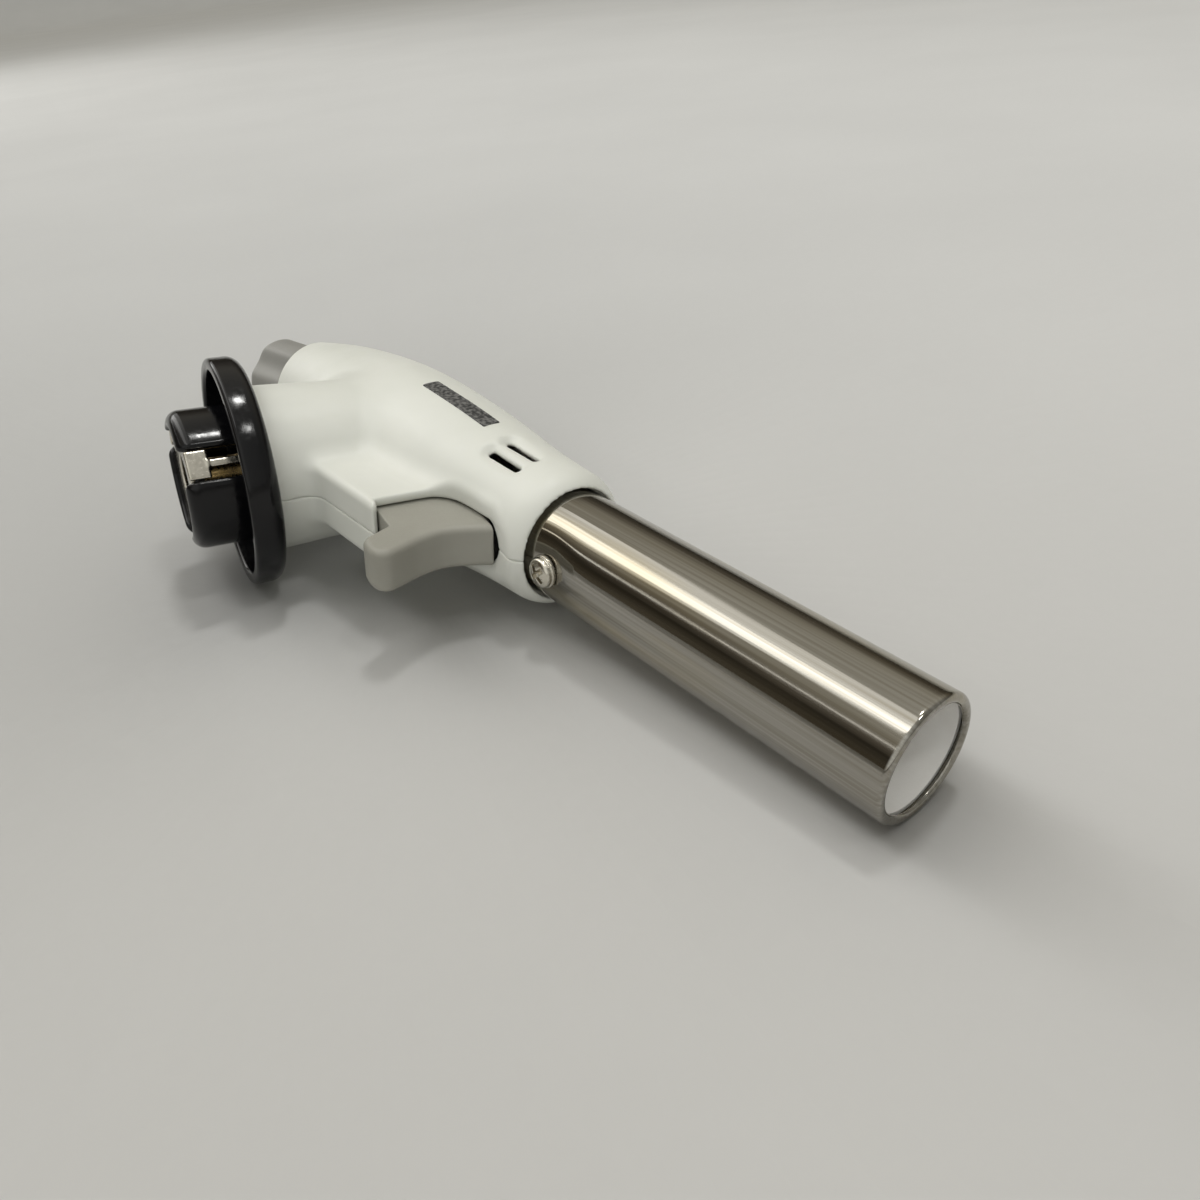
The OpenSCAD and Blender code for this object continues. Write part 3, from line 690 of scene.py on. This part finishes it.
def finishes():
    """One material for each slot of the record."""
    moulded = dict(patch=14, grain=0.25, grain_depth=0.012)
    metal = dict(patch=3, grain=0.6, grain_depth=0.005, Metallic=1.0)
    made = [
        housing_plastic(),
        polished_nickel(),
        label_film(),
        surface("trigger_grey", (0.30, 0.293, 0.255), (0.34, 0.333, 0.295), (0.42, 0.58), **moulded),
        surface("knob_grey", (0.24, 0.237, 0.222), (0.28, 0.277, 0.262), (0.42, 0.55), **moulded),
        surface("black_gloss", (0.003, 0.003, 0.004), (0.007, 0.007, 0.008), (0.08, 0.2),
                patch=10, grain=1.2, grain_depth=0.012, Specular_IOR_Level=0.3),
        surface("igniter_plastic", (0.03, 0.03, 0.033), (0.05, 0.05, 0.055), (0.35, 0.5), **moulded),
        surface("plunger_plastic", (0.62, 0.61, 0.56), (0.70, 0.69, 0.64), (0.35, 0.5), **moulded),
        surface("seal_rubber", (0.012, 0.012, 0.012), (0.025, 0.025, 0.025), (0.6, 0.8), **moulded),
        surface("lead_insulation", (0.32, 0.02, 0.015), (0.42, 0.035, 0.02), (0.35, 0.5), **moulded),
        surface("nickel_plate", (0.54, 0.51, 0.44), (0.70, 0.665, 0.585), (0.14, 0.28), **metal),
        surface("bright_steel", (0.45, 0.45, 0.44), (0.60, 0.60, 0.58), (0.2, 0.38), **metal),
        surface("brass", (0.55, 0.38, 0.15), (0.70, 0.50, 0.23), (0.2, 0.4), **metal),
        surface("copper_tube", (0.55, 0.26, 0.14), (0.72, 0.38, 0.22), (0.22, 0.4), **metal),
        surface("sintered_bronze", (0.25, 0.18, 0.10), (0.45, 0.33, 0.20), (0.5, 0.7), **metal),
        surface("cast_zinc", (0.33, 0.33, 0.33), (0.46, 0.46, 0.46), (0.4, 0.6), **metal),
        surface("white_ceramic", (0.89, 0.87, 0.84), (0.95, 0.94, 0.92), (0.55, 0.75),
                patch=8, grain=0.6, grain_depth=0.03),
    ]
    return {m.name.removesuffix(FINISH_SUFFIX): m for m in made}


def dress_cad_nodes():
    """Gives every CAD node the finish of its slot."""
    for part in frame["record"]["subparts"]:
        mesh = frame["nodes"][part["node"]].data
        mesh.materials.clear()
        mesh.materials.append(FINISHES[part["material_slot"]])


# ---------------------------------------------------------------- pieces

def build_solid(name, field, node, body, slot, voxel, relax=2):
    """One piece from a field, meshed in the box of the CAD node that it stands for."""
    low, high = corners(node)
    piece = solid_from_field(name, field, low, high, voxel, relax=relax)
    keep(piece, body, slot, node)


def build_housing():
    build_solid("right_housing_shell", right_half, "right_housing", "body", "housing_white", HOUSING_VOXEL)
    build_solid("left_housing_shell", left_half, "left_housing", "body", "housing_white", HOUSING_VOXEL)


def build_controls():
    build_solid("trigger_button", trigger, "trigger", "trigger", "trigger_grey", 0.22)
    build_solid("flow_knob", knob, "control_knob", "knob", "knob_grey", 0.22)


def build_connector():
    build_solid("connector_claws", connector, "connector_body", "body", "black_gloss", 0.2)
    build_solid("lug_plate", bayonet, "bayonet_plate", "body", "nickel_plate", 0.16, relax=1)


def build_flange():
    """Cup with soft edges, and the spigot that the neck clamps."""
    spigot_r = NECK_R - WALL - 0.05
    spigot_bore, spigot_end = 13.4, 12
    edge, back_edge, inner_edge, floor_edge = 0.9, 2.6, 0.7, 0.8
    profile = (
        arc((CUP_R + inner_edge, inner_edge), inner_edge, 180, 270, 5)
        + arc((FLANGE_R - edge, edge), edge, -90, 0, 6)
        + arc((FLANGE_R - back_edge, FLANGE_T - back_edge), back_edge, 0, 90, 8)
        + [(spigot_r, FLANGE_T), (spigot_r, spigot_end), (spigot_bore, spigot_end),
           (spigot_bore, FLANGE_T), (INLET_HOLE_R, FLANGE_T), (INLET_HOLE_R, CUP_FLOOR)]
        + arc((CUP_R - floor_edge, CUP_FLOOR - floor_edge), floor_edge, 90, 0, 5))
    keep(lathe("flange_ring", profile, CARTRIDGE, 224), "body", "black_gloss", "base_flange")


def build_tube():
    """Plated tube with a rolled lip, a soft shoulder at its root and a dimple under the screw."""
    wall, lip = 0.6, 0.95
    inner = TUBE_R - wall
    stations = np.linspace(TUBE_START + 1, MOUTH - lip - 0.5, 86)
    profile = (
        [(inner, TUBE_START)]
        + [(TUBE_R - shoulder(s), float(s)) for s in stations]
        + arc((TUBE_R - lip, MOUTH - lip), lip, 0, 160, 14)
        + arc((TUBE_R - lip, MOUTH - lip), lip - wall, 160, 0, 10)
        + [(inner, MOUTH - lip - 1)])
    piece = lathe("tube_shell", profile, NOZZLE.place(), 256)
    sink_screw_dimple(piece)
    keep(piece, "body", "burner_nickel", "burner_tube")


def shoulder(station):
    """How far the tube's surface drops towards its root."""
    drop, length = 0.35, 2.2
    return drop * math.exp(-max(station - TUBE_SEAT[1], 0) / length)


def sink_screw_dimple(piece):
    """Pulls the tube's surface in under the screw."""
    depth, reach = 0.8, 5.5
    middle = NOZZLE.point(TUBE_SCREW_STATION, TUBE_R) * MM
    for vertex in piece.data.vertices:
        far = (vertex.co - middle).length / (reach * MM)
        vertex.co -= NOZZLE.across * depth * MM * math.exp(-far * far)


def screw_box(reach, top):
    """Corners of a box round a screw's head and the start of its shank."""
    bottom = -4.5
    return (-reach, -reach, bottom), (reach, reach, top)


def build_screws():
    """Cross-recess heads: one on the tube, one in the knob and four in the housing."""
    sink = 0.5               # how far the tube's screw sits in its dimple
    place = upright(NOZZLE.point(TUBE_SCREW_STATION, TUBE_R - sink), NOZZLE.across, NOZZLE.direction)
    head = screw_head(2.9, 2.3, washer_r=3.15)
    piece = solid_from_field("tube_screw_head", head, *screw_box(3.6, 3), 0.1, place, 1)
    keep(piece, "body", "nickel_plate", "tube_screw")

    place = upright(STEM.point(KNOB_SCREW_SEAT), -STEM.direction, STEM.across)
    head = screw_head(2.3, 1.7)
    piece = solid_from_field("knob_screw_head", head, *screw_box(3, 2.4), 0.12, place, 1)
    keep(piece, "knob", "bright_steel", "knob_screw")

    head = screw_head(2.7, 2.0)
    heads = []
    for x, y in screw_places():
        place = upright(Vector((x, y, SCREW_SEAT_Z)), Vector((0, 0, -1)), Vector((1, 0, 0)))
        heads.append(solid_from_field("screw_head", head, *screw_box(3.4, 2.8), 0.14, place, 1))
    keep(joined("housing_screw_heads", heads), "body", "bright_steel", "housing_screws")


def joined(name, pieces):
    """One object from several."""
    shape = bmesh.new()
    for piece in pieces:
        shape.from_mesh(piece.data)
        bpy.data.objects.remove(piece)
    mesh = bpy.data.meshes.new(name)
    shape.to_mesh(mesh)
    shape.free()
    mesh.shade_smooth()
    whole = bpy.data.objects.new(name, mesh)
    bpy.context.scene.collection.objects.link(whole)
    return whole


def coil(name, coil_r, length, wire, turns, closed):
    """Round wire coiled along Y from 0, with a number of close turns at each end."""
    sides, rings_per_turn = 10, 24
    rings = turns * rings_per_turn
    close_rise = 2 * wire * closed
    points = []
    for i in range(rings + 1):
        turned = turns * i / rings
        a = 2 * math.pi * turned
        rise = np.interp(turned, (0, closed, turns - closed, turns),
                         (0, close_rise, length - close_rise, length))
        for k in range(sides):
            b = 2 * math.pi * k / sides
            r = coil_r + wire * math.cos(b)
            along = rise + wire * math.sin(b)
            points.append((r * math.cos(a) * MM, along * MM, r * math.sin(a) * MM))
    faces = [tuple(range(sides)), tuple(rings * sides + k for k in range(sides))]
    for start in range(0, rings * sides, sides):
        for k in range(sides):
            n = (k + 1) % sides
            faces.append((start + k, start + n, start + sides + n, start + sides + k))
    piece = new_object(name, points, faces)
    face_outwards(piece)
    return piece


def build_spring():
    """The spring round the igniter's plunger."""
    wire = 0.28              # radius
    low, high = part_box("piezo_spring")
    middle = (low + high) / 2
    coil_r = (high.x - low.x) / 2 / MM - wire
    length = (high.y - low.y) / MM - 2 * wire
    piece = coil("return_spring", coil_r, length, wire, turns=7, closed=0.9)
    piece.data.transform(Matrix.Translation((middle.x, low.y + wire * MM, middle.z)))
    keep(piece, "body", "bright_steel", "piezo_spring")
    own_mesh(piece)


def build_label():
    build_solid("label_plate", label, "rating_label", "body", "label_grey", 0.14, relax=1)


# ---------------------------------------------------------------- stage

def resting_plane():
    """(point, upward normal) of the surface that the object lies on: the face of its hull below it."""
    hull = bmesh.new()
    for node in frame["nodes"].values():
        for vertex in node.data.vertices:
            hull.verts.new(vertex.co)
    middle = sum((v.co for v in hull.verts), Vector()) / len(hull.verts)
    bmesh.ops.convex_hull(hull, input=hull.verts)
    bmesh.ops.recalc_face_normals(hull, faces=hull.faces)
    point, normal, _, _ = BVHTree.FromBMesh(hull).ray_cast(middle, Vector((0, 0, -1)))
    hull.free()
    return point, -normal


def build_floor():
    """Round table with a low cove at its edge."""
    point, up = resting_plane()
    reach, cove, thickness, centre_r = 4500, 500, 20, 0.01
    profile = ([(centre_r, 0)] + arc((reach, cove), cove, -90, 0, 12)
               + [(reach + cove, -thickness), (centre_r, -thickness)])
    side = up.cross(Vector((0, 1, 0))).normalized()
    floor = lathe("floor", profile, upright(point / MM, up, side), 128)
    floor.data.materials.append(surface("floor_paper", (0.64, 0.64, 0.635), (0.67, 0.67, 0.665), (0.7, 0.9),
                                        patch=160, grain=3, grain_depth=0.02))


def soft_box(name, target, direction, distance, size, brightness):
    """Soft box that lies along the burner and shines at the target, with its distance and size in metres."""
    back = Vector(direction).normalized()
    side = (NOZZLE.direction - back * back.dot(NOZZLE.direction)).normalized()
    data = bpy.data.lights.new(name, "AREA")
    data.shape = "RECTANGLE"
    data.size, data.size_y = size
    data.energy = brightness * math.pi * size[0] * size[1]
    data.color = (1.0, 0.995, 0.97)
    light = bpy.data.objects.new(name, data)
    rotation = Matrix((side, back.cross(side), back)).transposed().to_4x4()
    light.matrix_world = Matrix.Translation(target * MM + back * distance) @ rotation
    bpy.context.scene.collection.objects.link(light)


def build_lights():
    tube = NOZZLE.point(90)
    flange = Vector((3, -14, 19))
    soft_box("overhead_glow", tube, (-0.36, 0.49, 0.79), 1.6, (3.4, 0.95), 0.8)
    soft_box("overhead_core", tube, (-0.46, 0.47, 0.75), 1.5, (3.2, 0.34), 1.7)
    soft_box("edge_line", tube, (-0.81, 0.40, 0.44), 1.5, (3.2, 0.045), 1.6)
    soft_box("ceiling_lamp", flange, (0.137, 0.104, 0.985), 1.6, (0.17, 0.17), 46)
    soft_box("front_lamp", flange, (0.142, -0.426, 0.894), 1.6, (0.14, 0.17), 26)


def build_world():
    """Dim room: a dark wall with a warm ceiling behind, and in front a wall that is pale on one side."""
    world = bpy.data.worlds.new("room")
    world.use_nodes = True
    tree = world.node_tree
    split = tree.nodes.new("ShaderNodeSeparateXYZ")
    tree.links.new(tree.nodes.new("ShaderNodeTexCoord").outputs["Generated"], split.inputs["Vector"])
    behind = tones(tree, split.outputs["Z"], [
        (0.0, (0.10, 0.085, 0.06)), (0.25, (0.045, 0.038, 0.027)), (0.42, (0.15, 0.13, 0.10)),
        (0.6, (0.42, 0.39, 0.32)), (1.0, (0.62, 0.60, 0.54))])
    front = mixed(tree, spread(tree, split.outputs["X"], 0.0, 1.0, (-0.4, 0.3)),
                  (0.78, 0.78, 0.74), (0.30, 0.295, 0.27))
    turned = spread(tree, split.outputs["Y"], 0.0, 1.0, (-0.45, 0.05))
    tree.links.new(mixed(tree, turned, front, behind), tree.nodes["Background"].inputs["Color"])
    bpy.context.scene.world = world


def build_camera():
    """Camera where the photograph was taken from, as solved from the object's outlines."""
    position = Vector((-25.7, -204.4, 89.9)) * MM
    right = Vector((0.87690, -0.47854, 0.04525))
    down = Vector((-0.21706, -0.47822, -0.85100))
    focal_share = 0.81548            # focal length over the frame's width
    data = bpy.data.cameras.new("camera")
    data.sensor_width = 36
    data.lens = data.sensor_width * focal_share
    data.clip_start = 0.01
    camera = bpy.data.objects.new("camera", data)
    columns = Matrix((right, -down, right.cross(-down))).transposed().to_4x4()
    camera.matrix_world = Matrix.Translation(position) @ columns
    bpy.context.scene.collection.objects.link(camera)
    bpy.context.scene.camera = camera


FINISHES = finishes()
build_camera()
dress_cad_nodes()
build_housing()
build_controls()
build_connector()
build_flange()
build_tube()
build_screws()
build_spring()
build_label()
build_floor()
build_lights()
build_world()
bpy.context.scene.view_settings.view_transform = "Standard"
